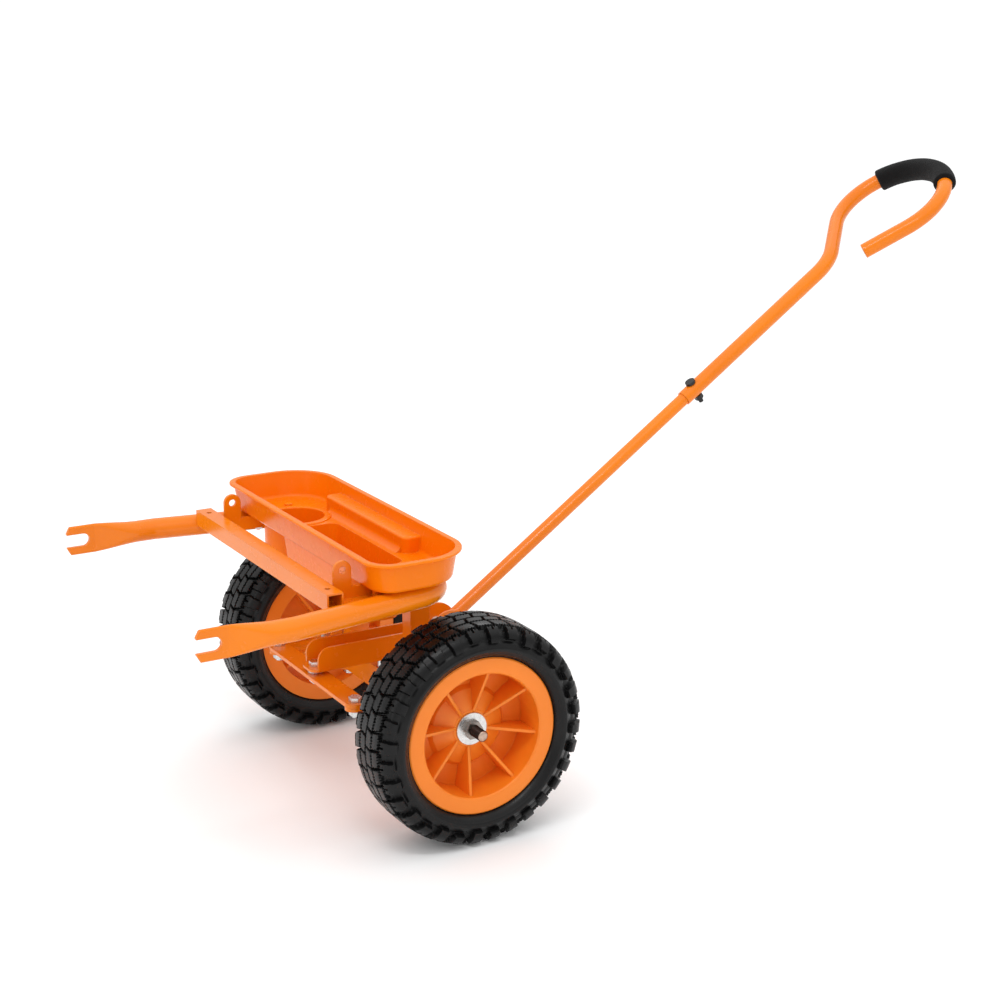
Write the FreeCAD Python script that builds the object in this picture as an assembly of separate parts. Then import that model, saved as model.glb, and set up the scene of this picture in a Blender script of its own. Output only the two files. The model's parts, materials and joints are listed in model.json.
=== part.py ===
import FreeCAD, Part
from FreeCAD import Vector as V
import math, os

os.makedirs("parts", exist_ok=True)

# Steerable two-wheel front axle for a yard cart: U-shaped tube frame with
# slotted fork ends, storage tray, steered wheels and a pull handle.
# Frame: +X forward (towards the handle), +Y left, +Z up, millimetres.
# Origin: floor point midway between the two tyre contacts.

# ---- driving dimensions -------------------------------------------------
TYRE_R = 127.0          # 10 in flat-free tyre
AXLE_Z = TYRE_R         # spindle height
WHEEL_Y = 197.8         # wheel mid-plane
RIM_LIP_R = 90.0
RIM_SEAT_R = 84.0
RIM_HALF_W = 31.8
LIP_W = 5.6
WINDOW_R = 71.0         # inner radius of the flat ring on the rim's face
HUB_FACE = 4.2          # hub's outer face beyond the wheel mid-plane
HUB_BACK = -33.8
TYRE_HALF_W = 41.0
SPINDLE_R = 6.35
RUN = 0.05              # radial running clearance of every pivot
TUBE_R = 12.7           # 1 in frame tube
TUBE_WALL = 2.0
TUBE_Z = 281.3
ARM_Y = 209.0           # fork ends
ARM_X = -208.0          # slight bend of each arm
FRONT_X = -14.0         # front run of the U
FRONT_Y = 174.8
FORK_X0 = -315.0
FORK_X1 = -281.5
FORK_T = 5.0
FORK_HALF = 17.4
SLOT_R = 7.7
SLOT_X = -295.7
KINGPIN_Y = 106.0
KINGPIN_R = 5.0
BEAM_HALF = 15.0
BEAM_Z0, BEAM_Z1 = 105.0, 135.0
BEAM_HALF_LEN = 118.0
ARM_LEN = 94.0          # steering arm, kingpin to tie-rod bolt
PIVOT_X, PIVOT_Z = 72.0, 171.3   # handle hinge
PITCH = math.radians(34.7)
LOWER_R, LOWER_WALL = 8.0, 1.6
UPPER_R, UPPER_WALL = 9.5, 1.4
JOINT_S = 440.0         # through bolt of the two handle tubes
UPPER_S0 = 421.0
LOOP_S, LOOP_R = 810.0, 75.0
GRIP_R = 14.5
TRAY_RIM_Z = 331.0
DECK_Z = 300.0
LEDGE_X, LEDGE_Y0, LEDGE_Y1, LEDGE_Z = -21.5, -90.0, 122.0, 318.5
CUP_X, CUP_Y, CUP_R = -64.6, 112.0, 34.5


# ---- helpers --------------------------------------------------------------
def box(x0, x1, y0, y1, z0, z1):
    return Part.makeBox(x1 - x0, y1 - y0, z1 - z0, V(x0, y0, z0))


def cyl(p, d, r, h):
    return Part.makeCylinder(r, h, V(*p), V(*d))


def ring(p, d, ro, ri, h):
    return cyl(p, d, ro, h).cut(cyl(p, d, ri, h))


def hexa(p, d, af, h):
    d = V(*d).normalize()
    a = V(0, 0, 1) if abs(d.z) < 0.9 else V(1, 0, 0)
    e1 = d.cross(a).normalize()
    e2 = d.cross(e1)
    r = af / math.sqrt(3)
    pts = [V(*p) + e1 * (r * math.cos(math.radians(60 * i))) +
           e2 * (r * math.sin(math.radians(60 * i))) for i in range(7)]
    pts[6] = pts[0]
    return Part.Face(Part.makePolygon(pts)).extrude(d * h)


def my(shape):
    return shape.mirror(V(0, 0, 0), V(0, 1, 0))


def fuse(a, *bs):
    out = a.fuse(list(bs))
    return out.removeSplitter()


def save(name, *shapes):
    solids = []
    for s in shapes:
        solids += s.Solids
    out = solids[0] if len(solids) == 1 else Part.makeCompound(solids)
    for s in solids:
        if not s.isValid() or s.Volume <= 0:
            print("BAD", name)
    out.exportStep("parts/%s.step" % name)
    bb = out.BoundBox
    print("%-22s n=%d vol=%9.1f x %.1f %.1f y %.1f %.1f z %.1f %.1f" % (
        name, len(solids), sum(s.Volume for s in solids) / 1000.0,
        bb.XMin, bb.XMax, bb.YMin, bb.YMax, bb.ZMin, bb.ZMax))


def rrect(x0, x1, y0, y1, r, z, rf=None):
    """Closed wire of a rounded rectangle in a level plane; r at the rear corners, rf at the front ones."""
    rf = rf or r
    e = []
    c = [(x1 - rf, y1 - rf, 0, rf), (x0 + r, y1 - r, 90, r), (x0 + r, y0 + r, 180, r), (x1 - rf, y0 + rf, 270, rf)]
    pts = []
    for cx, cy, a, q in c:
        tri = []
        for k in (0, 45, 90):
            t = math.radians(a + k)
            tri.append(V(cx + q * math.cos(t), cy + q * math.sin(t), z))
        pts.append(tri)
    for i in range(4):
        a, b = pts[i], pts[(i + 1) % 4]
        e.append(Part.Arc(*a).toShape())
        e.append(Part.makeLine(a[2], b[0]))
    return Part.Wire(e)


def drafted(b, t):
    return Part.makeLoft([b, t], True, True)


def sweep(wire, r):
    e = wire.OrderedEdges[0]
    p = e.valueAt(e.FirstParameter)
    d = e.tangentAt(e.FirstParameter)
    circ = Part.Wire(Part.makeCircle(r, p, d))
    return wire.makePipeShell([circ], True, True)


def corner(a, p, b, r):
    """Tangent points and middle of the arc of radius r at corner p."""
    u = (a - p).normalize()
    w = (b - p).normalize()
    half = math.acos(max(-1, min(1, u.dot(w)))) / 2
    t = r / math.tan(half)
    bis = (u + w).normalize()
    c = p + bis * (r / math.sin(half))
    return p + u * t, c - bis * r, p + w * t


# ---- frame tube -----------------------------------------------------------
X_LOFT = -231.0
pts = [V(X_LOFT, ARM_Y, TUBE_Z), V(ARM_X, ARM_Y, TUBE_Z), V(FRONT_X, FRONT_Y, TUBE_Z),
       V(FRONT_X, -FRONT_Y, TUBE_Z), V(ARM_X, -ARM_Y, TUBE_Z), V(X_LOFT, -ARM_Y, TUBE_Z)]
rad = [None, 40.0, 45.0, 45.0, 40.0]
edges, last = [], pts[0]
for i in range(1, 5):
    s, m, t = corner(pts[i - 1], pts[i], pts[i + 1], rad[i])
    edges += [Part.makeLine(last, s), Part.Arc(s, m, t).toShape()]
    last = t
edges.append(Part.makeLine(last, pts[5]))
u_path = Part.Wire(edges)
tube_outer = sweep(u_path, TUBE_R)
tube_inner = sweep(u_path, TUBE_R - TUBE_WALL)


def stadium(x, hw, hh):
    """Upright flattened-tube section: half width hw, half height hh."""
    zc, yc = TUBE_Z, ARM_Y
    c = hh - hw
    k = hw * math.sin(math.radians(45))
    return Part.Wire([
        Part.makeLine(V(x, yc + hw, zc - c), V(x, yc + hw, zc + c)),
        Part.Arc(V(x, yc + hw, zc + c), V(x, yc, zc + c + hw), V(x, yc - hw, zc + c)).toShape(),
        Part.makeLine(V(x, yc - hw, zc + c), V(x, yc - hw, zc - c)),
        Part.Arc(V(x, yc - hw, zc - c), V(x, yc, zc - c - hw), V(x, yc + hw, zc - c)).toShape()])


n = 8
secs = []
for i in range(n + 1):
    t = i / n
    q = 0.5 * t + 0.5 * t * t * (3 - 2 * t)
    hw = FORK_T / 2 + (TUBE_R - FORK_T / 2) * q
    hh = FORK_HALF + (TUBE_R - FORK_HALF) * q
    if i == n:
        hh = hw + 0.02
    secs.append(stadium(FORK_X1 + (X_LOFT - FORK_X1) * t, hw, hh))
neck = Part.makeLoft(secs, True, True)
plate = box(FORK_X0, FORK_X1, ARM_Y - FORK_T / 2, ARM_Y + FORK_T / 2, TUBE_Z - FORK_HALF + 2.5, TUBE_Z + FORK_HALF - 2.5)
plate = plate.fuse([cyl((FORK_X0, ARM_Y, TUBE_Z + s * (FORK_HALF - 2.5)), (1, 0, 0), 2.5, FORK_X1 - FORK_X0) for s in (1, -1)])
slot = fuse(box(FORK_X0 - 5, SLOT_X, ARM_Y - 6, ARM_Y + 6, TUBE_Z - SLOT_R, TUBE_Z + SLOT_R),
            cyl((SLOT_X, ARM_Y - 6, TUBE_Z), (0, 1, 0), SLOT_R, 12))
fork = plate.fuse(neck).cut(slot)
for s in (1, -1):
    tri = Part.Face(Part.makePolygon([
        V(FORK_X0 - 1, ARM_Y - 6, TUBE_Z + s * (FORK_HALF - 9)),
        V(FORK_X0, ARM_Y - 6, TUBE_Z + s * (FORK_HALF - 8)),
        V(FORK_X0 + 5, ARM_Y - 6, TUBE_Z + s * (FORK_HALF + 1)),
        V(FORK_X0 - 1, ARM_Y - 6, TUBE_Z + s * (FORK_HALF + 1)),
        V(FORK_X0 - 1, ARM_Y - 6, TUBE_Z + s * (FORK_HALF - 9))])).extrude(V(0, 12, 0))
    fork = fork.cut(tri)
hollow = tube_outer.cut(tube_inner)
for s in (1, -1):   # weld vents, inside the posts
    hollow = hollow.cut(cyl((-10.0, s * 80.0, TUBE_Z - 20), (0, 0, 1), 2.5, 20))
frame_tube = hollow.fuse([fork, my(fork)]).removeSplitter()
save("frame_tube", frame_tube)
tube_solid = tube_outer.fuse([neck, my(neck)])

# ---- crossbar -------------------------------------------------------------
CB_X0, CB_X1, CB_Z0, CB_Z1 = -161.2, -142.3, 284.4, 303.4
cb = box(CB_X0, CB_X1, -187, 187, CB_Z0, CB_Z1).cut(
    box(CB_X0 + 2, CB_X1 - 2, -190, 190, CB_Z0 + 2, CB_Z1 - 2))
cb = cb.cut(tube_solid)
for s in (1, -1):
    cb = cb.cut(cyl(((CB_X0 + CB_X1) / 2, s * 168.0, CB_Z1 - 4), (0, 0, 1), 3.1, 8))
save("crossbar", cb)

# ---- ear brackets ---------------------------------------------------------
EAR_X, EAR_Z, EAR_R, EAR_HOLE_R = -128.3, 316.2, 10.2, 4.25
EAR_Y0, EAR_Y1 = 151.0, 155.0
rail = box(CB_X1, -25, EAR_Y0, EAR_Y1, 281, 296.5)
ear = fuse(rail, box(EAR_X - EAR_R, EAR_X + EAR_R, EAR_Y0, EAR_Y1, 290, EAR_Z),
           cyl((EAR_X, EAR_Y0, EAR_Z), (0, 1, 0), EAR_R, EAR_Y1 - EAR_Y0))
flange = box(CB_X1, -42, EAR_Y1 - 1, 200, 281, 284)
ear = fuse(ear, flange).cut(tube_solid)
ear = ear.cut(cyl((EAR_X, EAR_Y0 - 1, EAR_Z), (0, 1, 0), EAR_HOLE_R, 8))
SCREWS = [(-92.0, 162.5), (-52.0, 161.5)]
for x, y in SCREWS:
    ear = ear.cut(cyl((x, y, 270), (0, 0, 1), 2.6, 20))
ear = max(ear.Solids, key=lambda s: s.Volume)
save("ear_bracket_left", ear)
save("ear_bracket_right", my(ear))

# ---- posts and axle beam --------------------------------------------------
post = box(-15.4, 9.2, 69.6, 90.0, BEAM_Z1, 283).cut(box(-13.4, 7.2, 71.6, 88.0, BEAM_Z1, 283))
post = post.cut(tube_solid)
post = max(post.Solids, key=lambda s: s.Volume)
save("post_left", post)
save("post_right", my(post))
beam = box(-BEAM_HALF, BEAM_HALF, -BEAM_HALF_LEN, BEAM_HALF_LEN, BEAM_Z0, BEAM_Z1).cut(
    box(-BEAM_HALF + 2.5, BEAM_HALF - 2.5, -BEAM_HALF_LEN, BEAM_HALF_LEN, BEAM_Z0 + 2.5, BEAM_Z1 - 2.5))
for y in (-KINGPIN_Y, 0, KINGPIN_Y):
    beam = beam.cut(cyl((0, y, 90), (0, 0, 1), KINGPIN_R, 60))
save("axle_beam", beam)

# ---- tray -----------------------------------------------------------------
T = 2.6
pan_o = drafted(rrect(-108, -1, -202, 202, 26, 296.5, 50), rrect(-113, 4, -208, 208, 28, TRAY_RIM_Z, 54))
low = [e for e in pan_o.Edges if abs(e.BoundBox.ZMax - 296.5) < 0.01 and abs(e.BoundBox.ZMin - 296.5) < 0.01]
try:
    f = pan_o.makeFillet(5.0, low)
    if f.isValid():
        pan_o = f
except Exception as ex:
    print("pan fillet", ex)
pan_i = drafted(rrect(-105.4, -3.6, -199.4, 199.4, 23.4, DECK_Z, 47.4), rrect(-110.4, 1.4, -205.4, 205.4, 25.4, TRAY_RIM_Z + 0.5, 51.4))
low = [e for e in pan_i.Edges if abs(e.BoundBox.ZMax - DECK_Z) < 0.01 and abs(e.BoundBox.ZMin - DECK_Z) < 0.01]
try:
    f = pan_i.makeFillet(5.0, low)
    if f.isValid():
        pan_i = f
except Exception as ex:
    print("inner fillet", ex)
lip_o = Part.Face(rrect(-117.5, 8.5, -212.5, 212.5, 32, TRAY_RIM_Z - 3.4, 58)).extrude(V(0, 0, 3.4))
try:
    lip_o = lip_o.makeFillet(1.3, [e for e in lip_o.Edges if abs(e.BoundBox.ZMax - e.BoundBox.ZMin) < 0.01])
except Exception as ex:
    print('lip fillet', ex)
bin_o = drafted(rrect(-98, -37, -110, 60, 14, 235.0), rrect(-104, -31, -118, 68, 14, 299.0))
bin_i = drafted(rrect(-98 + T, -37 - T, -110 + T, 60 - T, 11.4, 235.0 + T), rrect(-104 + T, -31 - T, -118 + T, 68 - T, 11.4, DECK_Z + 1))
cup_o = cyl((CUP_X, CUP_Y, 257.4), (0, 0, 1), CUP_R + T, 42)
cup_i = cyl((CUP_X, CUP_Y, 260.0), (0, 0, 1), CUP_R, 42)
cup_rim = ring((CUP_X, CUP_Y, DECK_Z - 1), (0, 0, 1), CUP_R + 8.5, CUP_R, 2.8)
try:
    cup_rim = cup_rim.makeFillet(1.5, [e for e in cup_rim.Edges if e.BoundBox.ZMin > DECK_Z + 1.7 and e.Closed])
except Exception as ex:
    print('cup fillet', ex)
cup_rim = cup_rim.cut(bin_i)
tray = pan_o.fuse([lip_o, bin_o, cup_o]).cut(pan_i)
ledge = box(LEDGE_X, 8, LEDGE_Y0, LEDGE_Y1, DECK_Z - 1, LEDGE_Z)
try:
    up = [e for e in ledge.Edges if e.BoundBox.XMax < LEDGE_X + 0.1 and e.BoundBox.ZMax - e.BoundBox.ZMin > 10]
    f = ledge.makeFillet(8.0, up)
    tops = [e for e in f.Edges if e.BoundBox.ZMin > LEDGE_Z - 0.1 and e.BoundBox.XMin < 7.9]
    f = f.makeFillet(2.6, tops)
    if f.isValid():
        ledge = f
except Exception as ex:
    print("ledge fillet", ex)
COVE = 9.0
cove = box(LEDGE_X - COVE, LEDGE_X + 1, LEDGE_Y0 + 9, LEDGE_Y1 - 16, DECK_Z - 1, DECK_Z + COVE).cut(
    cyl((LEDGE_X - COVE, LEDGE_Y0 - 5, DECK_Z + COVE), (0, 1, 0), COVE, 230))
ledge = ledge.fuse(cove)
ledge = ledge.common(fuse(pan_i, box(-40, -10, -110, 130, DECK_Z - 1, DECK_Z + 3)))
tray = tray.fuse([ledge, cup_rim]).cut(bin_i.fuse(cup_i))
for x, y in SCREWS:
    for s in (1, -1):
        tray = tray.cut(cyl((x, s * y, 290), (0, 0, 1), 2.6, 20))
tray = max(tray.Solids, key=lambda s: s.Volume).removeSplitter()
save("tray", tray)
screws, nuts, sleeves = [], [], []
for x, y in SCREWS:
    for s in (1, -1):
        screws.append(fuse(cyl((x, s * y, DECK_Z), (0, 0, 1), 4.6, 2.6), cyl((x, s * y, 275.5), (0, 0, 1), 2.5, 25)))
        nuts.append(hexa((x, s * y, 281.0), (0, 0, -1), 8.0, 4.0).cut(cyl((x, s * y, 270), (0, 0, 1), 2.5, 20)))
        sleeves.append(ring((x, s * y, 284.0), (0, 0, 1), 5.0, 2.6, 12.5))
save("tray_screws", *screws)
save("tray_nuts", *nuts)
save("tray_spacers", *sleeves)

# ---- centre pivot, kingpins ------------------------------------------------
WEB_Z0, WEB_Z1 = 150.0, 153.0
pivot_bolt = fuse(cyl((0, 0, BEAM_Z0), (0, 0, 1), KINGPIN_R, 59.0), hexa((0, 0, BEAM_Z0), (0, 0, -1), 16.0, 6.4))
save("centre_pivot_bolt", pivot_bolt)
save("centre_pivot_nut", hexa((0, 0, WEB_Z1 + 0.15), (0, 0, 1), 16.0, 8.0).cut(cyl((0, 0, 140), (0, 0, 1), KINGPIN_R, 40)))
save("centre_spacer", ring((0, 0, BEAM_Z1), (0, 0, 1), 13.0, KINGPIN_R, WEB_Z0 - BEAM_Z1 - 0.15))
pins, pnuts = [], []
for s in (1, -1):
    y = s * KINGPIN_Y
    pins.append(fuse(cyl((0, y, 99.8), (0, 0, 1), KINGPIN_R, 53.2), hexa((0, y, 99.8), (0, 0, -1), 16.0, 6.4)))
    pnuts.append(hexa((0, y, 140.2), (0, 0, 1), 16.0, 9.0).cut(cyl((0, y, 130), (0, 0, 1), KINGPIN_R, 40)))
save("kingpins", *pins)
save("kingpin_nuts", *pnuts)

# ---- drawbar channel --------------------------------------------------------
CH_X0, CH_X1, CH_HALF, CH_T, CH_TOP = -98.0, 104.0, 18.0, 3.0, 178.5
side = box(CH_X0, CH_X1, CH_HALF - CH_T, CH_HALF, WEB_Z0, CH_TOP)
cut = box(CH_X0 - 1, CH_X0 + 15, CH_HALF - CH_T - 1, CH_HALF + 1, CH_TOP - 15, CH_TOP + 1).cut(
    cyl((CH_X0 + 15, CH_HALF - CH_T - 1, CH_TOP - 15), (0, 1, 0), 15, CH_T + 2))
side = side.cut(cut)
earp = cyl((74.0, CH_HALF - CH_T, PIVOT_Z), (0, 1, 0), 24.5, CH_T).common(box(40, 110, 0, 30, WEB_Z0, 220))
front = box(96, CH_X1, CH_HALF - CH_T - 1, CH_HALF + 1, CH_TOP - 6, CH_TOP + 1)
side = fuse(side, earp)
web = box(CH_X0 - 8, CH_X1 - 22, -CH_HALF, CH_HALF, WEB_Z0, WEB_Z1)
chan = fuse(web, side, my(side))
rear = []
for s in (1, -1):   # rounded rear corners of the web
    c = box(CH_X0 - 9, CH_X0 + 4, s * 18 - 12, s * 18 + 12, WEB_Z0 - 1, WEB_Z1 + 0.0)
    rear.append(c.cut(cyl((CH_X0 + 4, s * 6, WEB_Z0 - 2), (0, 0, 1), 12, 8)))
for c in rear:
    chan = chan.cut(c.common(box(CH_X0 - 9, CH_X0, -40, 40, WEB_Z0 - 1, WEB_Z1 + 1)))
chan = chan.cut(cyl((0, 0, 140), (0, 0, 1), KINGPIN_R + RUN, 30))
chan = chan.cut(cyl((-ARM_LEN, 0, 140), (0, 0, 1), 4.0, 30))
chan = chan.cut(cyl((PIVOT_X, -40, PIVOT_Z), (0, 1, 0), 5.0, 80))
STOP_X, STOP_Z, STOP_R = 96.0, 173.1, 4.0
chan = chan.cut(cyl((STOP_X, -40, STOP_Z), (0, 1, 0), STOP_R, 80))
chan = max(chan.Solids, key=lambda s: s.Volume).removeSplitter()
save("drawbar_channel", chan)
save("tie_rod_centre_bolt", fuse(cyl((-ARM_LEN, 0, 131.0), (0, 0, 1), 4.0, 23.0),
                                 hexa((-ARM_LEN, 0, WEB_Z1), (0, 0, 1), 13.0, 5.3),
                                 cyl((-ARM_LEN, 0, 144.9), (0, 0, 1), 9.0, 5.1)))
save("tie_rod_centre_nut", hexa((-ARM_LEN, 0, 140.0), (0, 0, -1), 13.0, 6.5).cut(cyl((-ARM_LEN, 0, 120), (0, 0, 1), 4.0, 40)))
save("handle_pivot_bolt", fuse(cyl((PIVOT_X, -CH_HALF - 9, PIVOT_Z), (0, 1, 0), 5.0, 2 * CH_HALF + 9),
                               hexa((PIVOT_X, CH_HALF, PIVOT_Z), (0, 1, 0), 16.0, 6.4)))
save("handle_pivot_nut", hexa((PIVOT_X, -CH_HALF, PIVOT_Z), (0, -1, 0), 16.0, 7.5).cut(
    cyl((PIVOT_X, -60, PIVOT_Z), (0, 1, 0), 5.0, 80)))
save("handle_spacers", *[ring((PIVOT_X, y, PIVOT_Z), (0, 1, 0), 8.0, 5.0, 6.7) for y in (8.3, -15.0)])
save("handle_stop_bolt", fuse(cyl((STOP_X, -CH_HALF, STOP_Z), (0, 1, 0), STOP_R, 2 * CH_HALF),
                              cyl((STOP_X, CH_HALF, STOP_Z), (0, 1, 0), 6.0, 3.5),
                              cyl((STOP_X, -CH_HALF - 3.5, STOP_Z), (0, 1, 0), 6.0, 3.5)))

# ---- tie rod ----------------------------------------------------------------
TR_Z0, TR_Z1, TR_R = 140.2, 144.7, 12.5
tr = fuse(box(-ARM_LEN - TR_R, -ARM_LEN + TR_R, -KINGPIN_Y, KINGPIN_Y, TR_Z0, TR_Z1),
          cyl((-ARM_LEN, KINGPIN_Y, TR_Z0), (0, 0, 1), TR_R, TR_Z1 - TR_Z0),
          cyl((-ARM_LEN, -KINGPIN_Y, TR_Z0), (0, 0, 1), TR_R, TR_Z1 - TR_Z0))
for y in (-KINGPIN_Y, KINGPIN_Y):
    tr = tr.cut(cyl((-ARM_LEN, y, 130), (0, 0, 1), 4.0, 30))
tr = tr.cut(cyl((-ARM_LEN, 0, 130), (0, 0, 1), 4.0 + RUN, 30))
save("tie_rod", tr)
eb, en = [], []
for s in (1, -1):
    y = s * KINGPIN_Y
    eb.append(fuse(cyl((-ARM_LEN, y, 126.0), (0, 0, 1), 4.0, 19.0), hexa((-ARM_LEN, y, TR_Z1), (0, 0, 1), 13.0, 5.3)))
    en.append(hexa((-ARM_LEN, y, 135.2), (0, 0, -1), 13.0, 6.5).cut(cyl((-ARM_LEN, y, 120), (0, 0, 1), 4.0, 40)))
save("tie_rod_end_bolts", *eb)
save("tie_rod_end_nuts", *en)

# ---- steering knuckles --------------------------------------------------------
K_R, K_Y0, K_Y1 = 14.5, 127.0, 132.0
bottom = fuse(cyl((0, KINGPIN_Y, 100), (0, 0, 1), K_R, 4.5), box(-K_R, K_R, KINGPIN_Y, K_Y1, 100, 104.5))
top = fuse(cyl((0, KINGPIN_Y, 135.5), (0, 0, 1), K_R, 4.5), box(-K_R, K_R, KINGPIN_Y, K_Y1, 135.5, 140),
           box(-ARM_LEN, 0, KINGPIN_Y - 6.5, KINGPIN_Y + 12.0, 135.5, 140),
           cyl((-ARM_LEN, KINGPIN_Y, 135.5), (0, 0, 1), 12.0, 4.5))
back = box(-K_R, K_R, K_Y0, K_Y1, 100, 140)
knuckle = fuse(bottom, top, back)
knuckle = knuckle.cut(cyl((0, KINGPIN_Y, 90), (0, 0, 1), KINGPIN_R + RUN, 60))
knuckle = knuckle.cut(cyl((-ARM_LEN, KINGPIN_Y, 130), (0, 0, 1), 4.0 + RUN, 20))
spindle = cyl((0, K_Y1, AXLE_Z), (0, 1, 0), SPINDLE_R, 230.0 - K_Y1)
spindle = spindle.makeChamfer(1.2, [e for e in spindle.Edges if abs(e.BoundBox.YMin - 230.0) < 0.01 and e.Closed])
y_back = WHEEL_Y + HUB_BACK
y_face = WHEEL_Y + HUB_FACE
collar = ring((0, K_Y1, AXLE_Z), (0, 1, 0), 10.5, SPINDLE_R, y_back - 0.2 - K_Y1)
washer = ring((0, y_face + 0.2, AXLE_Z), (0, 1, 0), 18.4, SPINDLE_R, 2.0)
anut = hexa((0, y_face + 2.2, AXLE_Z), (0, 1, 0), 19.0, 6.0).cut(cyl((0, 100, AXLE_Z), (0, 1, 0), SPINDLE_R, 200))
for nm, sh in (("knuckle", knuckle), ("spindle", spindle), ("spindle_collar", collar), ("axle_washer", washer), ("axle_nut", anut)):
    save(nm + "_left", sh)
    save(nm + "_right", my(sh))


# ---- wheels --------------------------------------------------------------------
def turned(profile):
    """Solid of revolution about the spindle axis from (r, y) points."""
    w = Part.makePolygon([V(r, y, AXLE_Z) for r, y in profile] + [V(profile[0][0], profile[0][1], AXLE_Z)])
    return Part.Face(w).revolve(V(0, 0, AXLE_Z), V(0, 1, 0), 360)


wy = WHEEL_Y
FLOOR0, FLOOR1 = wy - 14.0, wy - 10.0
rim = turned([(13.0, wy + HUB_BACK), (21.0, wy + HUB_BACK), (24.0, FLOOR0), (WINDOW_R, FLOOR0), (WINDOW_R, wy - RIM_HALF_W),
              (RIM_LIP_R, wy - RIM_HALF_W), (RIM_LIP_R, wy - RIM_HALF_W + LIP_W), (RIM_SEAT_R, wy - RIM_HALF_W + LIP_W),
              (RIM_SEAT_R, wy + RIM_HALF_W - LIP_W), (RIM_LIP_R, wy + RIM_HALF_W - LIP_W), (RIM_LIP_R, wy + RIM_HALF_W - 1.5),
              (RIM_LIP_R - 1.5, wy + RIM_HALF_W), (WINDOW_R + 1.5, wy + RIM_HALF_W), (WINDOW_R, wy + RIM_HALF_W - 1.5), (WINDOW_R, FLOOR1),
              (47.0, FLOOR1), (43.0, FLOOR1 + 5.0), (22.0, wy + HUB_FACE - 1.0), (21.0, wy + HUB_FACE), (13.0, wy + HUB_FACE)])
RIB_T, RIBS, RIB_PHASE = 3.4, 8, 9.5
ribs = []
for k in range(RIBS):
    a = 360.0 / RIBS * k + RIB_PHASE
    prof = [V(19.0, wy + HUB_FACE, 0), V(WINDOW_R + 1, wy + RIM_HALF_W - 7.0, 0), V(WINDOW_R + 1, wy - RIM_HALF_W + 5.0, 0),
            V(19.0, wy + HUB_BACK + 3.0, 0)]
    face = Part.Face(Part.makePolygon(prof + [prof[0]]))
    rib = face.extrude(V(0, 0, RIB_T))
    rib.translate(V(0, 0, -RIB_T / 2))
    rib.rotate(V(0, 0, 0), V(0, 1, 0), a)
    rib.translate(V(0, 0, AXLE_Z))
    ribs.append(rib)
rim = rim.fuse(ribs).removeSplitter()
rim = max(rim.Solids, key=lambda s: s.Volume)
hub_hole = cyl((0, wy - 60, AXLE_Z), (0, 1, 0), 13.0, 120)
rim = rim.cut(hub_hole)
BULGE = TYRE_HALF_W
half = [(RIM_SEAT_R, RIM_HALF_W - LIP_W), (RIM_LIP_R, RIM_HALF_W - LIP_W), (RIM_LIP_R, RIM_HALF_W - 1.0), (92.0, 34.5), (97.0, 38.6),
        (102.0, 40.6), (106.0, BULGE), (111.0, 40.6), (116.0, 39.2), (120.0, 36.8), (123.5, 32.6), (125.6, 27.0), (TYRE_R, 18.0)]
tyre = turned([(r, wy + d) for r, d in half] + [(r, wy - d) for r, d in reversed(half)])
bush = fuse(ring((0, y_back, AXLE_Z), (0, 1, 0), 13.0, SPINDLE_R + RUN, 11.0))
bush2 = ring((0, y_face - 11.0, AXLE_Z), (0, 1, 0), 13.0, SPINDLE_R + RUN, 11.0)
save("rim_left", rim)
save("rim_right", my(rim))
save("tyre_left", tyre)
save("tyre_right", my(tyre))
save("wheel_bushes_left", bush, bush2)
save("wheel_bushes_right", my(bush), my(bush2))

# ---- handle ------------------------------------------------------------------
U = V(math.cos(PITCH), 0, math.sin(PITCH))
N = V(-math.sin(PITCH), 0, math.cos(PITCH))
PV = V(PIVOT_X, 0, PIVOT_Z)


def hp(s, y, nn=0.0):
    return PV + U * s + V(0, y, 0) + N * nn


bolt_d = (N.x, N.y, N.z)
bp = hp(JOINT_S, 0, -20)
joint_hole = cyl((bp.x, bp.y, bp.z), bolt_d, 3.05, 40)
a, b = hp(-14, 0), hp(JOINT_S + 16, 0)
lower = Part.makeCylinder(LOWER_R, (b - a).Length, a, U).cut(
    Part.makeCylinder(LOWER_R - LOWER_WALL, (b - a).Length, a, U))
lower = lower.cut(cyl((PIVOT_X, -40, PIVOT_Z), (0, 1, 0), 5.0 + RUN, 80)).cut(joint_hole)
save("handle_lower_tube", lower)

t40 = math.radians(40)
k = 69.0 * math.tan(t40 / 2)
q0, q1 = hp(693.3 - k, 0), hp(693.3 + k * math.cos(t40), k * math.sin(t40))
_, qm, _ = corner(hp(UPPER_S0, 0), hp(693.3, 0), hp(761.8, 57.5), 69.0)


def loop(deg, r=LOOP_R):
    return hp(LOOP_S + r * math.cos(math.radians(deg)), r * math.sin(math.radians(deg)))


tail = loop(-118) + (U * -0.8829 + V(0, 0.4695, 0)) * 60.0
path = Part.Wire([Part.makeLine(hp(UPPER_S0, 0), q0), Part.Arc(q0, qm, q1).toShape(), Part.makeLine(q1, loop(130)),
                  Part.Arc(loop(130), loop(6), loop(-118)).toShape(), Part.makeLine(loop(-118), tail)])
upper = sweep(path, UPPER_R).cut(sweep(path, UPPER_R - UPPER_WALL)).cut(joint_hole)
save("handle_upper_tube", upper)
arc = Part.Wire([Part.Arc(loop(57), loop(5.5), loop(-46)).toShape()])
grip = sweep(arc, GRIP_R).cut(sweep(arc, UPPER_R))
save("handle_grip", grip)
hb = fuse(Part.makeCylinder(3.0, 33.0, hp(JOINT_S, 0, -20.5), N),
          Part.makeCylinder(6.5, 3.4, hp(JOINT_S, 0, UPPER_R), N))
save("handle_joint_bolt", hb)
p = hp(JOINT_S, 0, -UPPER_R)
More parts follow.
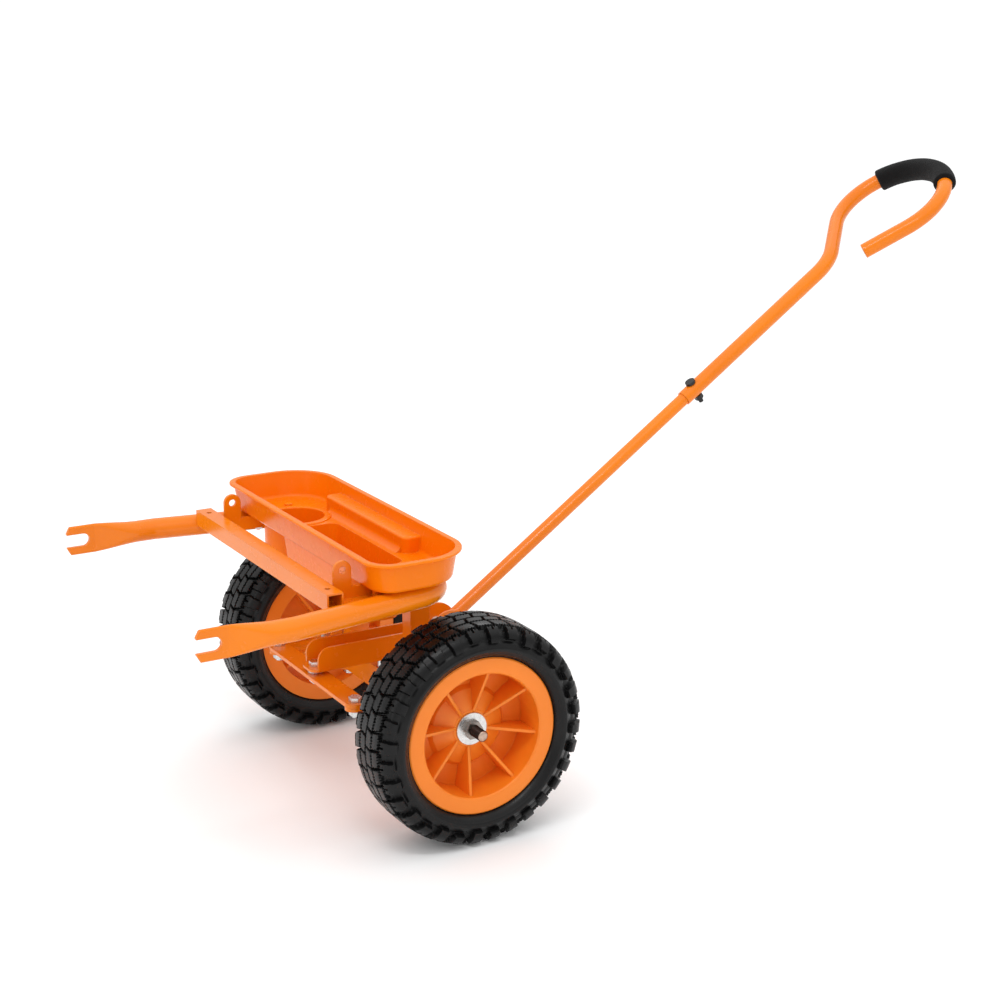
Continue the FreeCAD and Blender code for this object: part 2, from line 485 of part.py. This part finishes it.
jn = hexa((p.x, p.y, p.z), (-N.x, 0, -N.z), 10.0, 6.0).cut(Part.makeCylinder(3.0, 60, hp(JOINT_S, 0, -30), N))
save("handle_joint_nut", jn)
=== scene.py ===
import bpy, bmesh, json, math
import numpy as np
from mathutils import Vector, Matrix, noise


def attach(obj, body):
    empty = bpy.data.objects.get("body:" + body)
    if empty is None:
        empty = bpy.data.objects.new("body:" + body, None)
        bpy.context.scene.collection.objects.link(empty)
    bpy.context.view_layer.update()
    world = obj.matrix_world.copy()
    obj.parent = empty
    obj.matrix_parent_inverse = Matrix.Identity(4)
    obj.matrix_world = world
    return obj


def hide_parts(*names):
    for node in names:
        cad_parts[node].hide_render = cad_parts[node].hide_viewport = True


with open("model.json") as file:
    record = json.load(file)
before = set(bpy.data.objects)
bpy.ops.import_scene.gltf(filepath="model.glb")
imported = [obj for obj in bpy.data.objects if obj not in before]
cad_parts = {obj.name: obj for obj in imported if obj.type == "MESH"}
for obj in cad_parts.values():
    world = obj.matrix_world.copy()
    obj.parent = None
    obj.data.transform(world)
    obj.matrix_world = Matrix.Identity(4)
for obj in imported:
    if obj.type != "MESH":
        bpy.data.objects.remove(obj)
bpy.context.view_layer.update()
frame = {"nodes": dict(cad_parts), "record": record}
nodes = frame["nodes"]
scene = bpy.context.scene

# ------------------------------------------------------------------ camera
yaw, pitch, roll = 0.51997, 0.27181, -0.00246
d = Vector((math.sin(yaw) * math.cos(pitch), math.cos(yaw) * math.cos(pitch), -math.sin(pitch)))
right = Vector((math.cos(yaw), -math.sin(yaw), 0.0))
up = right.cross(d)
r2 = right * math.cos(roll) + up * math.sin(roll)
u2 = up * math.cos(roll) - right * math.sin(roll)
cam_data = bpy.data.cameras.new("camera")
cam_data.sensor_width = 36.0
cam_data.lens = 36.0 * 1.89594
cam_data.clip_start, cam_data.clip_end = 0.05, 900.0
cam = bpy.data.objects.new("camera", cam_data)
scene.collection.objects.link(cam)
m = Matrix((r2, u2, -d)).transposed().to_4x4()
m.translation = Vector((-0.9337, -1.8980, 0.9263))
cam.matrix_world = m
scene.camera = cam


# --------------------------------------------------------------- materials
class NT:
    """Small helper that writes shader nodes."""

    def __init__(self, name):
        self.mat = bpy.data.materials.new(name)
        self.mat.use_nodes = True
        self.t = self.mat.node_tree
        self.b = self.t.nodes["Principled BSDF"]
        self.co = self.t.nodes.new("ShaderNodeTexCoord").outputs["Object"]

    def set(self, **kw):
        for k, v in kw.items():
            self.b.inputs[k.replace("_", " ")].default_value = v

    def noise(self, scale, detail=4.0, rough=0.55, vec=None):
        n = self.t.nodes.new("ShaderNodeTexNoise")
        n.inputs["Scale"].default_value = scale
        n.inputs["Detail"].default_value = detail
        n.inputs["Roughness"].default_value = rough
        self.t.links.new(vec or self.co, n.inputs["Vector"])
        return n.outputs["Fac"]

    def voronoi(self, scale, feature="F1"):
        n = self.t.nodes.new("ShaderNodeTexVoronoi")
        n.feature = feature
        n.inputs["Scale"].default_value = scale
        self.t.links.new(self.co, n.inputs["Vector"])
        return n.outputs["Distance"]

    def ramp(self, fac, stops):
        n = self.t.nodes.new("ShaderNodeValToRGB")
        e = n.color_ramp.elements
        while len(e) < len(stops):
            e.new(0.5)
        for el, (p, c) in zip(e, stops):
            el.position = p
            el.color = (c[0], c[1], c[2], 1.0) if len(c) == 3 else c
        self.t.links.new(fac, n.inputs["Fac"])
        return n.outputs["Color"]

    def remap(self, fac, a, b, c, dd):
        n = self.t.nodes.new("ShaderNodeMapRange")
        for i, v in zip(("From Min", "From Max", "To Min", "To Max"), (a, b, c, dd)):
            n.inputs[i].default_value = v
        self.t.links.new(fac, n.inputs["Value"])
        return n.outputs["Result"]

    def mix(self, fac, a, b):
        n = self.t.nodes.new("ShaderNodeMix")
        n.data_type = "RGBA"
        self.t.links.new(fac, n.inputs[0])
        for sock, v in ((n.inputs[6], a), (n.inputs[7], b)):
            if isinstance(v, (tuple, list)):
                sock.default_value = (v[0], v[1], v[2], 1.0)
            else:
                self.t.links.new(v, sock)
        return n.outputs[2]

    def math(self, op, a, b):
        n = self.t.nodes.new("ShaderNodeMath")
        n.operation = op
        for sock, v in ((n.inputs[0], a), (n.inputs[1], b)):
            if isinstance(v, (int, float)):
                sock.default_value = v
            else:
                self.t.links.new(v, sock)
        return n.outputs[0]

    def bump(self, height, strength, dist, chain=None):
        n = self.t.nodes.new("ShaderNodeBump")
        n.inputs["Strength"].default_value = strength
        n.inputs["Distance"].default_value = dist
        self.t.links.new(height, n.inputs["Height"])
        if chain:
            self.t.links.new(chain, n.inputs["Normal"])
        return n.outputs["Normal"]

    def round_edges(self, radius, samples=4):
        n = self.t.nodes.new("ShaderNodeBevel")
        n.samples = samples
        n.inputs["Radius"].default_value = radius
        return n.outputs["Normal"]

    def edge_mask(self, rounded, lo=0.02, hi=0.30):
        g = self.t.nodes.new("ShaderNodeNewGeometry").outputs["True Normal"]
        n = self.t.nodes.new("ShaderNodeVectorMath")
        n.operation = "DOT_PRODUCT"
        self.t.links.new(rounded, n.inputs[0])
        self.t.links.new(g, n.inputs[1])
        return self.remap(n.outputs["Value"], 1.0 - lo, 1.0 - hi, 0.0, 1.0)

    def link(self, out, name):
        self.t.links.new(out, self.b.inputs[name])


def orange_paint(name, base, dark, rough):
    n = NT(name)
    n.set(IOR=1.45, Specular_IOR_Level=0.32, Coat_Weight=0.16, Coat_Roughness=0.04, Coat_IOR=1.45)
    big = n.noise(7.0, 3.0)
    col = n.mix(n.remap(big, 0.35, 0.65, 0.0, 1.0), dark, base)
    fine = n.noise(60.0, 6.0, 0.65)
    dust = n.remap(fine, 0.66, 0.90, 0.0, 0.03)
    col = n.mix(dust, col, (0.86, 0.40, 0.10))
    rounded = n.round_edges(0.0011)
    wear = n.math("MULTIPLY", n.edge_mask(rounded), n.remap(n.noise(45.0, 4.0, 0.6), 0.35, 0.65, 0.08, 0.30))
    col = n.mix(wear, col, (0.88, 0.36, 0.07))
    n.link(col, "Base Color")
    n.link(n.remap(fine, 0.3, 0.75, rough - 0.05, rough + 0.10), "Roughness")
    peel = n.noise(520.0, 2.0, 0.5)
    n.link(n.bump(peel, 0.10, 0.0004, rounded), "Normal")
    return n.mat


def gloss_plastic(name, base, dark):
    n = NT(name)
    n.set(IOR=1.45, Specular_IOR_Level=0.16, Coat_Weight=0.07, Coat_Roughness=0.05, Coat_IOR=1.40, Subsurface_Weight=0.06, Subsurface_Scale=0.004)
    n.b.inputs["Subsurface Radius"].default_value = (1.0, 0.4, 0.1)
    big = n.noise(5.0, 2.0)
    n.link(n.mix(n.remap(big, 0.35, 0.65, 0.0, 1.0), dark, base), "Base Color")
    fine = n.noise(90.0, 5.0, 0.6)
    n.link(n.remap(fine, 0.3, 0.7, 0.20, 0.30), "Roughness")
    wave = n.noise(38.0, 2.0, 0.4)
    n.link(n.bump(wave, 0.08, 0.0012, n.bump(n.noise(900.0, 2.0), 0.05, 0.0002, n.round_edges(0.0016))), "Normal")
    return n.mat


def satin_plastic(name, base, dark, rough=0.42):
    n = NT(name)
    n.set(IOR=1.46, Subsurface_Weight=0.05, Subsurface_Scale=0.004)
    n.b.inputs["Subsurface Radius"].default_value = (1.0, 0.4, 0.15)
    big = n.noise(16.0, 3.0)
    n.link(n.mix(n.remap(big, 0.3, 0.7, 0.0, 1.0), dark, base), "Base Color")
    fine = n.noise(150.0, 5.0, 0.6)
    n.link(n.remap(fine, 0.3, 0.7, rough - 0.05, rough + 0.08), "Roughness")
    n.link(n.bump(n.noise(1400.0, 3.0, 0.6), 0.14, 0.0003, n.round_edges(0.0014)), "Normal")
    return n.mat


def rubber(name):
    n = NT(name)
    n.set(IOR=1.45, Specular_IOR_Level=0.30)
    big = n.noise(30.0, 4.0, 0.6)
    col = n.mix(n.remap(big, 0.35, 0.7, 0.0, 1.0), (0.0018, 0.0018, 0.0020), (0.0045, 0.0044, 0.0045))
    n.link(col, "Base Color")
    n.link(n.remap(n.noise(110.0, 5.0, 0.65), 0.3, 0.7, 0.24, 0.40), "Roughness")
    n.link(n.bump(n.noise(800.0, 4.0, 0.65), 0.30, 0.0004, n.bump(n.noise(140.0, 3.0), 0.16, 0.0010)), "Normal")
    return n.mat


def foam(name):
    n = NT(name)
    n.set(IOR=1.35, Specular_IOR_Level=0.22, Sheen_Weight=0.05, Sheen_Roughness=0.6)
    big = n.noise(120.0, 4.0, 0.6)
    n.link(n.mix(big, (0.0025, 0.0025, 0.0028), (0.0075, 0.0073, 0.0075)), "Base Color")
    n.set(Roughness=0.88)
    cells = n.voronoi(1500.0)
    n.link(n.bump(cells, 0.55, 0.0008, n.bump(n.noise(420.0, 4.0, 0.7), 0.45, 0.0010)), "Normal")
    return n.mat


def zinc(name, base=(0.74, 0.74, 0.73), rough=0.28):
    n = NT(name)
    n.set(Metallic=1.0)
    big = n.noise(260.0, 5.0, 0.65)
    n.link(n.mix(n.remap(big, 0.3, 0.7, 0.0, 1.0), tuple(c * 0.80 for c in base), base), "Base Color")
    n.link(n.remap(n.noise(420.0, 4.0), 0.3, 0.7, rough - 0.07, rough + 0.12), "Roughness")
    n.link(n.bump(n.noise(1800.0, 3.0), 0.12, 0.0002, n.round_edges(0.0007)), "Normal")
    return n.mat


def black_metal(name):
    n = NT(name)
    n.set(Metallic=0.35, IOR=1.5)
    n.link(n.mix(n.noise(200.0, 4.0), (0.008, 0.008, 0.009), (0.024, 0.023, 0.023)), "Base Color")
    n.link(n.remap(n.noise(300.0, 4.0), 0.3, 0.7, 0.30, 0.46), "Roughness")
    n.link(n.bump(n.noise(1500.0, 3.0), 0.15, 0.0002), "Normal")
    return n.mat


M = {
    "frame_paint": orange_paint("orange_powder_coat", (0.830, 0.208, 0.002), (0.770, 0.180, 0.0015), 0.22),
    "tray_plastic": gloss_plastic("orange_tray_plastic", (0.880, 0.196, 0.001), (0.845, 0.178, 0.001)),
    "rim_plastic": satin_plastic("orange_rim_plastic", (0.880, 0.222, 0.010), (0.835, 0.202, 0.008)),
    "tyre_rubber": rubber("tyre_rubber"),
    "grip_foam": foam("grip_foam"),
    "zinc": zinc("zinc_plate"),
    "bush_nylon": satin_plastic("natural_nylon", (0.72, 0.70, 0.64), (0.66, 0.64, 0.58), 0.48),
    "black_steel": black_metal("black_oxide_steel"),
}
copper = zinc("spindle_end_steel", (0.58, 0.42, 0.33), 0.30)
thread = zinc("spindle_thread_steel", (0.040, 0.031, 0.027), 0.36)
nut_steel = zinc("axle_nut_steel", (0.33, 0.29, 0.26), 0.32)
slot_of = {s["node"]: s["material_slot"] for s in frame["record"]["subparts"]}
for name, ob in nodes.items():
    ob.data.materials.clear()
    ob.data.materials.append(nut_steel if name.startswith("axle_nut") else M[slot_of[name]])


# ------------------------------------------------------------------ helpers
def new_object(name, verts, faces, mat, smooth=True):
    me = bpy.data.meshes.new(name)
    me.from_pydata([tuple(map(float, v)) for v in verts], [], [tuple(map(int, f)) for f in faces])
    me.validate()
    me.update()
    if smooth:
        me.shade_smooth()
    me.materials.append(mat)
    ob = bpy.data.objects.new(name, me)
    scene.collection.objects.link(ob)
    return ob


def grid_faces(nu, nv, wrap_u=True, wrap_v=False, flip=False):
    """Quads of a grid whose vertex index is u * nv + v."""
    iu = np.arange(nu if wrap_u else nu - 1)
    iv = np.arange(nv if wrap_v else nv - 1)
    a, b = np.meshgrid(iu, iv, indexing="ij")
    a, b = a.ravel(), b.ravel()
    a1, b1 = (a + 1) % nu, (b + 1) % nv
    f = np.stack([a * nv + b, a1 * nv + b, a1 * nv + b1, a * nv + b1], 1)
    return f[:, ::-1] if flip else f


# --------------------------------------------------------------------- tyres
# Outer section of the tyre as (radius, half width) in mm, crown to bead.
SECTION = [(127.0, 0.0), (127.0, 18.0), (125.6, 27.0), (123.5, 32.6), (120.0, 36.8), (116.0, 39.2), (111.0, 40.6),
           (106.0, 41.0), (102.0, 40.6), (97.0, 38.6), (92.0, 34.5), (90.2, 31.0)]


def smooth_section(step=0.9):
    """Points along half the section at even spacing, rounded by subdivision."""
    p = np.array(SECTION)
    for _ in range(3):
        q = [p[0]]
        for a, b in zip(p[:-1], p[1:]):
            q += [a * 0.75 + b * 0.25, a * 0.25 + b * 0.75]
        q.append(p[-1])
        p = np.array(q)
    s = np.concatenate([[0], np.cumsum(np.linalg.norm(np.diff(p, axis=0), axis=1))])
    n = int(s[-1] / step)
    t = np.linspace(0, s[-1], n + 1)
    return np.interp(t, s, p[:, 0]), np.interp(t, s, p[:, 1]), t


def band(x, w):
    """1 inside, 0 outside, with a soft edge, from a signed distance x in mm."""
    return np.clip(x / w + 0.5, 0.0, 1.0)


def saw(x):
    """Zigzag from -1 to 1 with period 1."""
    return 4 * np.abs((x % 1.0) - 0.5) - 1.0


def tread(theta, v):
    """Block height from 0 to 1 at angle theta (turns) and signed distance v (mm) from the crown's middle."""
    N = 38.0
    pitch = 2 * math.pi * 127.0 / N
    a = np.abs(v)
    sgn = np.where(v < 0, -1.0, 1.0)
    u = theta * N
    zig = saw(u * 6.0)
    h = np.ones_like(v)
    # zigzag grooves: one in the middle, one either side, one at each shoulder
    for c, w, k in ((0.0, 1.5, 0.5), (13.2, 2.3, 0.9), (27.6, 2.9, 1.0)):
        dist = np.abs(a - c + zig * k) - w / 2
        h = np.minimum(h, band(dist, 0.9))
    # cross slits of the four middle rows, stepped from row to row
    inner = a < 13.2
    x = (u + 0.25 * sgn + 0.012 * v) % 1.0
    slit = np.abs(x - 0.5) * pitch - 1.25 + 0.5 * saw(v / 4.0)
    h = np.where(inner, np.minimum(h, band(slit, 0.9)), h)
    x = (u + 0.5 - 0.25 * sgn - sgn * 0.014 * (a - 19)) % 1.0
    slit = np.abs(x - 0.5) * pitch - 1.5 + 0.5 * saw(v / 4.0)
    h = np.where((~inner) & (a < 27.6), np.minimum(h, band(slit, 0.9)), h)
    # shoulder lugs, every other one longer down the sidewall
    NS = 32.0
    ps = 2 * math.pi * 121.0 / NS
    us = theta * NS + 0.5 * (sgn > 0)
    x = us % 1.0
    odd = np.floor(us) % 2
    lug = 7.3 - 0.05 * (a - 27.6) - np.abs(x - 0.5) * ps
    end = 46.5 + 4.5 * odd
    lug = np.minimum(lug, end - a)
    h = np.where(a >= 27.6, np.minimum(h, band(lug, 1.3)), h)
    # short sipe cut in from the shoulder groove
    sipe = np.maximum(np.abs(x - 0.5) * ps - 0.7, a - 33.5)
    h = np.where(a >= 27.6, np.minimum(h, 0.45 + 0.55 * band(sipe, 0.8)), h)
    return h


def make_tyre(side, y0):
    r, y, t = smooth_section()
    r = np.concatenate([r[::-1], r[1:]])
    yy = np.concatenate([-y[::-1], y[1:]])
    v = np.concatenate([-t[::-1], t[1:]])
    dr, dy = np.gradient(r), np.gradient(yy)
    ln = np.hypot(dr, dy)
    nr, ny = dy / ln, -dr / ln
    nu, nv = 1216, len(r)
    th = np.arange(nu) / nu
    TH, Vv = np.meshgrid(th, v, indexing="ij")
    h = tread(TH, Vv)
    a = np.abs(Vv)
    depth = (4.8 + 1.4 * np.clip((a - 27.0) / 5.0, 0.0, 1.0)) * np.clip((58.0 - a) / 9.0, 0.0, 1.0)
    # thin ring moulded on the sidewall
    ringh = np.exp(-((a - 61.0) / 1.2) ** 2) * 0.5
    off = -depth * (1 - h) - 0.15 - 0.5 * np.clip((a - 52.0) / 3.0, 0.0, 1.0) + ringh * 0.9
    R = (r[None, :] + nr[None, :] * off) / 1000.0
    Y = (yy[None, :] + ny[None, :] * off) / 1000.0
    ang = 2 * math.pi * TH
    X, Z = R * np.cos(ang), R * np.sin(ang)
    verts = np.stack([X, Y + y0, Z + 0.127], -1).reshape(-1, 3)
    faces = [tuple(f) for f in grid_faces(nu, nv, True, False, flip=True)]
    # inner seat closes the tyre
    lo = [(90.05, -31.0), (90.05, -26.4), (84.1, -26.2), (84.1, 26.2), (90.05, 26.4), (90.05, 31.0)]
    base = len(verts)
    extra = []
    for i in range(nu):
        c, s = math.cos(2 * math.pi * i / nu), math.sin(2 * math.pi * i / nu)
        for rr, dd in lo:
            extra.append((rr / 1000 * c, y0 + dd / 1000, 0.127 + rr / 1000 * s))
    nl = len(lo)
    for i in range(nu):
        j = (i + 1) % nu
        faces.append((i * nv, base + i * nl, base + j * nl, j * nv))
        for k in range(nl - 1):
            faces.append((base + i * nl + k, base + i * nl + k + 1, base + j * nl + k + 1, base + j * nl + k))
        faces.append((base + i * nl + nl - 1, i * nv + nv - 1, j * nv + nv - 1, base + j * nl + nl - 1))
    verts = np.concatenate([verts, np.array(extra)])
    ob = new_object("tyre_tread_" + side, verts, faces, M["tyre_rubber"])
    bm = bmesh.new()
    bm.from_mesh(ob.data)
    bmesh.ops.recalc_face_normals(bm, faces=bm.faces)
    bm.to_mesh(ob.data)
    bm.free()
    ob.data.shade_smooth()
    ob.data.set_sharp_from_angle(angle=math.radians(38))
    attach(ob, "wheel_" + side)
    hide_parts("tyre_" + side)
    return ob


make_tyre("left", 0.1978)
make_tyre("right", -0.1978)


# ------------------------------------------------------------------ spindles
def make_spindle(side):
    s = 1 if side == "left" else -1
    R, y_in, y_thr, y_end = 6.32, 132.0, 201.0, 230.0
    ys = list(np.arange(y_in, y_thr, 6.0)) + list(np.arange(y_thr, y_end - 1.2, 0.22)) + [y_end - 1.2, y_end - 0.6, y_end]
    nu = 48
    P, depth = 1.75, 0.62
    verts = []
    for i in range(nu):
        t = i / nu
        for y in ys:
            r = R
            if y_thr < y < y_end - 1.0:
                f = abs((((y - y_thr) / P + t) % 1.0) - 0.5) * 2
                r = R - depth * min(1.0, max(0.0, f * 1.3 - 0.1))
            if y >= y_end - 1.2:
                r = R - depth - (y - (y_end - 1.2)) * 0.9
            verts.append((r * math.cos(2 * math.pi * t) / 1000, s * y / 1000, 0.127 + r * math.sin(2 * math.pi * t) / 1000))
    nv = len(ys)
    faces = [tuple(f) for f in grid_faces(nu, nv)]
    faces.append(tuple(i * nv + nv - 1 for i in range(nu)))
    faces.append(tuple(i * nv for i in reversed(range(nu))))
    ob = new_object("spindle_thread_" + side, verts, faces, thread, smooth=False)
    bm = bmesh.new()
    bm.from_mesh(ob.data)
    bmesh.ops.recalc_face_normals(bm, faces=bm.faces)
    bm.to_mesh(ob.data)
    bm.free()
    ob.data.shade_smooth()
    ob.data.set_sharp_from_angle(angle=math.radians(50))
    ob.data.materials.append(copper)
    for p in ob.data.polygons:
        if abs(p.center.y) > 0.2288:
            p.material_index = 1
    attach(ob, "knuckle_" + side)
    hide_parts("spindle_" + side)


make_spindle("left")
make_spindle("right")

# ---------------------------------------------------------------- foam grip
PV = Vector((0.072, 0.0, 0.1713))
PITCH = math.radians(34.7)
U = Vector((math.cos(PITCH), 0, math.sin(PITCH)))
N = Vector((-math.sin(PITCH), 0, math.cos(PITCH)))
YH = Vector((0, 1, 0))


def make_grip():
    c = PV + U * 0.810
    a0, a1, R = math.radians(57), math.radians(-46), 0.075
    n, m_ = 150, 56
    verts = []
    for i in range(n + 1):
        f = i / n
        a = a0 + (a1 - a0) * f
        er = U * math.cos(a) + YH * math.sin(a)
        dist = min(f, 1 - f) * abs(a1 - a0) * R
        rr = 0.01435
        if dist < 0.0035:
            q = 1 - dist / 0.0035
            rr = 0.0097 + (0.01435 - 0.0097) * math.sqrt(max(0.0, 1 - q * q))
        for j in range(m_):
            b = 2 * math.pi * j / m_
            wob = noise.noise(Vector((math.cos(b) * 1.6, math.sin(b) * 1.6, f * 9.0))) * 0.00018 * min(1.0, dist / 0.004)
            verts.append(c + er * (R + (rr + wob) * math.cos(b)) + N * ((rr + wob) * math.sin(b)))
    faces = [tuple(f) for f in grid_faces(n + 1, m_, False, True)]
    # bore along the tube and the two end rings close the sleeve
    base = len(verts)
    for i in range(n + 1):
        a = a0 + (a1 - a0) * i / n
        er = U * math.cos(a) + YH * math.sin(a)
        for j in range(m_):
            b = 2 * math.pi * j / m_
            verts.append(c + er * (R + 0.00951 * math.cos(b)) + N * (0.00951 * math.sin(b)))
    faces += [tuple(int(q) + base for q in f) for f in grid_faces(n + 1, m_, False, True, flip=True)]
    for i in (0, n):
        for j in range(m_):
            k = (j + 1) % m_
            faces.append((i * m_ + j, i * m_ + k, base + i * m_ + k, base + i * m_ + j))
    ob = new_object("foam_grip", verts, faces, M["grip_foam"])
    bm = bmesh.new()
    bm.from_mesh(ob.data)
    bmesh.ops.recalc_face_normals(bm, faces=bm.faces)
    bm.to_mesh(ob.data)
    bm.free()
    ob.data.shade_smooth()
    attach(ob, "handle")
    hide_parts("handle_grip")


make_grip()

# ----------------------------------------------------------- floor and light
fl = bpy.data.meshes.new("floor")
fl.from_pydata([(-400, -400, 0), (400, -400, 0), (400, 400, 0), (-400, 400, 0)], [], [(0, 1, 2, 3)])
floor = bpy.data.objects.new("floor", fl)
scene.collection.objects.link(floor)
n = NT("studio_floor")
n.link(n.mix(n.noise(2.0, 2.0), (0.945, 0.945, 0.945), (0.955, 0.955, 0.955)), "Base Color")
n.set(Roughness=0.9)
fl.materials.append(n.mat)

world = bpy.data.worlds.new("studio")
scene.world = world
scene.view_settings.view_transform = "Standard"
world.use_nodes = True
wt = world.node_tree
bg = wt.nodes["Background"]
tc = wt.nodes.new("ShaderNodeTexCoord")
sep = wt.nodes.new("ShaderNodeSeparateXYZ")
ramp = wt.nodes.new("ShaderNodeValToRGB")
wt.links.new(tc.outputs["Generated"], sep.inputs[0])
wt.links.new(sep.outputs["Z"], ramp.inputs["Fac"])
wt.links.new(ramp.outputs["Color"], bg.inputs[0])
els = ramp.color_ramp.elements
els[0].position, els[0].color = 0.0, (0.66, 0.66, 0.66, 1)
els[1].position, els[1].color = 1.0, (1.0, 1.0, 1.0, 1)
e = els.new(0.30)
e.color = (0.44, 0.44, 0.44, 1)
e = els.new(0.60)
e.color = (0.85, 0.85, 0.85, 1)
bg.inputs[1].default_value = 1.39


def area(name, loc, target, size, power, sy=None):
    ld = bpy.data.lights.new(name, "AREA")
    ld.energy = power
    ld.shape = "RECTANGLE"
    ld.size, ld.size_y = size, sy or size
    ob = bpy.data.objects.new(name, ld)
    scene.collection.objects.link(ob)
    ob.location = loc
    ob.rotation_euler = (Vector(target) - Vector(loc)).to_track_quat("-Z", "Y").to_euler()
    return ob


area("key", (-0.9, -1.2, 2.7), (0.1, 0, 0.25), 1.5, 16, 0.25)
area("side", (-2.4, -0.8, 1.0), (0, 0, 0.2), 0.6, 3)
area("back", (1.8, 1.8, 2.2), (0.2, 0, 0.3), 1.0, 9, 0.35)
